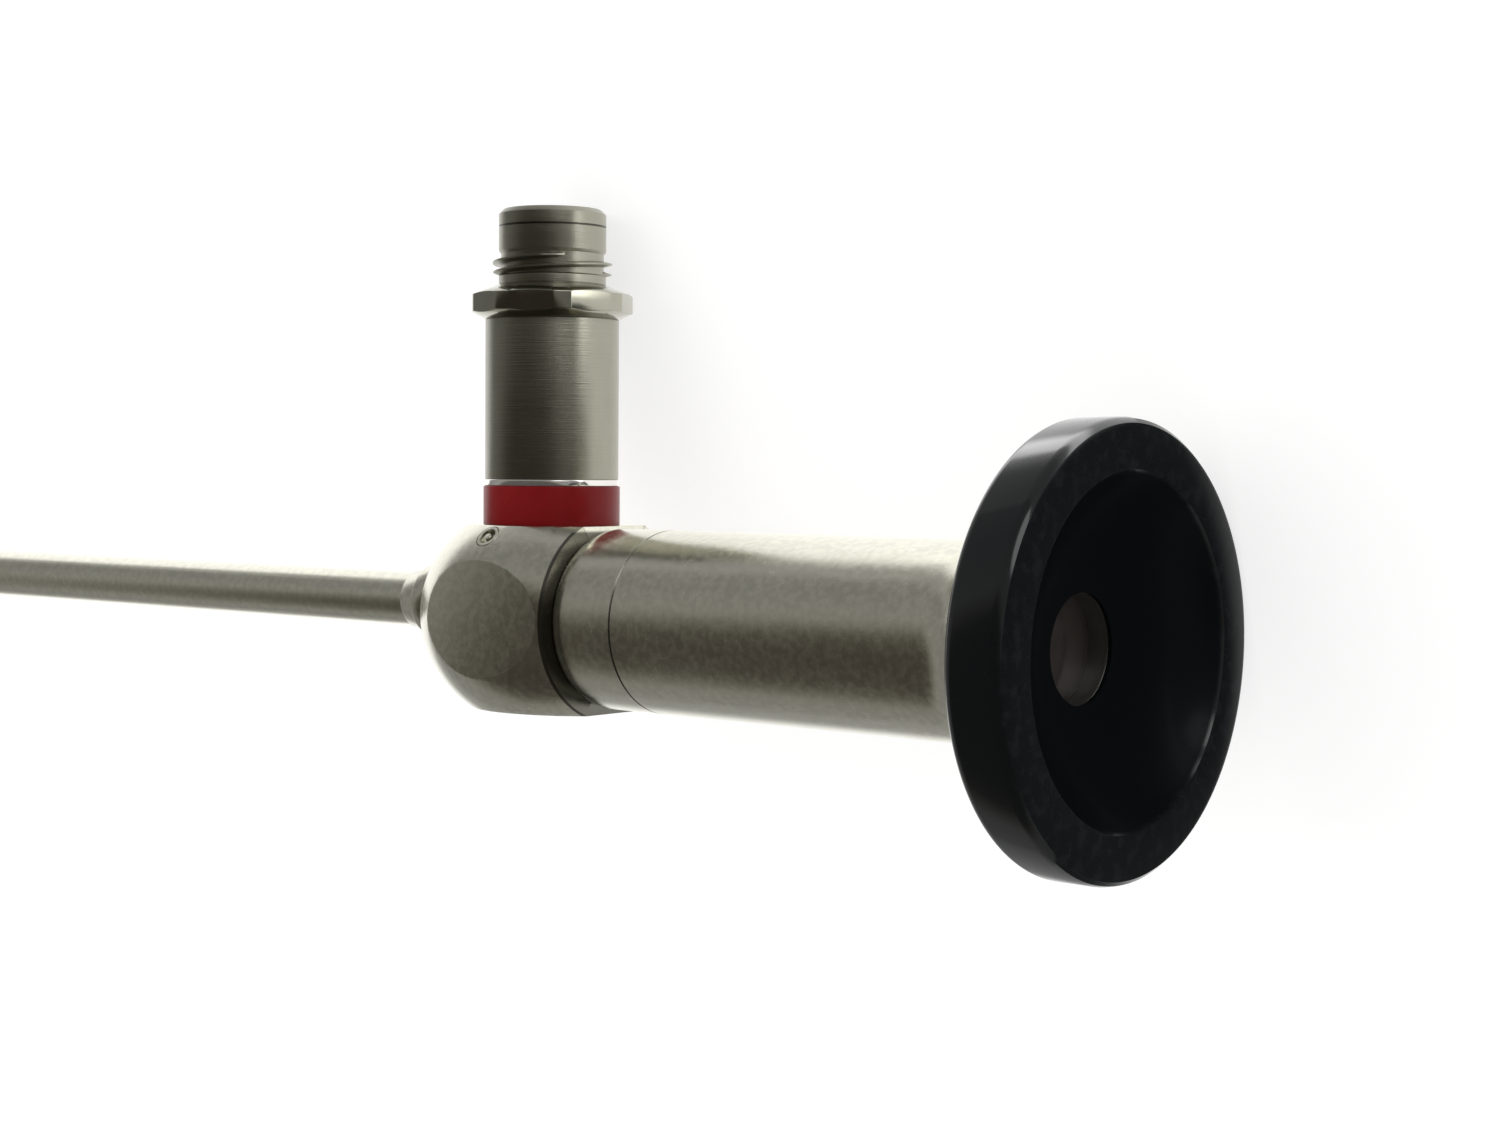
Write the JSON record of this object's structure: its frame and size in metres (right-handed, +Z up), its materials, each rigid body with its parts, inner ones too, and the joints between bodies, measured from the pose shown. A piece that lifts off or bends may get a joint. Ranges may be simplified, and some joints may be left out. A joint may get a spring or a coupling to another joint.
{
  "type": "rigid endoscope",
  "caption": "Rigid endoscope with a slanted tip, slim steel shaft, light post with flanged nipple and a wide funnel eyecup.",
  "frame": {"origin": "middle of the bottom of the outer box, on the table that the instrument lies on", "axes": "+X along the shaft's length towards the eyecup, raised by the resting pitch of about 2 degrees; +Y sideways towards the light post's end; +Z up from the table"},
  "size_m": [0.3734, 0.0488, 0.0319],
  "materials": {
    "satin_steel": "bead-blasted satin",
    "post_steel": "satin, turned",
    "bright_steel": "polished",
    "inner_steel": "turned",
    "red_ring": "deep red, satin gloss",
    "black_cup": "black, satin gloss",
    "black_aluminium": "black anodised",
    "brass_bush": "turned",
    "lens_glass": "polished",
    "fibre_glass": "bundled fibres, ground ends"
  },
  "bodies": {
    "root": {"block_plug": "bright_steel", "cell_lock_ring": "black_aluminium", "colour_ring": "red_ring", "eye_lens_front": "lens_glass", "eye_lens_nut": "black_aluminium", "eye_lens_rear": "lens_glass", "eye_lens_spacer": "black_aluminium", "eyecup": "black_cup", "eyepiece_window": "lens_glass", "fibre_bundle": "fibre_glass", "fibre_ferrule": "inner_steel", "field_stop": "black_aluminium", "front_sleeve": "satin_steel", "lens_cell": "black_aluminium", "light_entry_glass": "lens_glass", "objective_lens_1": "lens_glass", "objective_lens_2": "lens_glass", "ocular_tube": "satin_steel", "optic_tube": "inner_steel", "optic_tube_bush": "brass_bush", "post_block": "satin_steel", "post_core": "inner_steel", "post_flange": "post_steel", "post_nipple": "post_steel", "post_rim_ring": "bright_steel", "post_sleeve": "post_steel", "rod_lens_1": "lens_glass", "rod_lens_2": "lens_glass", "rod_lens_3": "lens_glass", "rod_lens_4": "lens_glass", "rod_lens_5": "lens_glass", "rod_lens_6": "lens_glass", "rod_spacer_1": "black_aluminium", "rod_spacer_2": "black_aluminium", "rod_spacer_3": "black_aluminium", "rod_spacer_4": "black_aluminium", "rod_spacer_5": "black_aluminium", "rod_spacer_6": "black_aluminium", "shaft_collar": "satin_steel", "shaft_fibres": "fibre_glass", "shaft_tube": "satin_steel", "tip_window": "lens_glass", "view_prism": "lens_glass", "window_retainer": "black_aluminium", "window_ring": "inner_steel"}
  },
  "joints": []
}
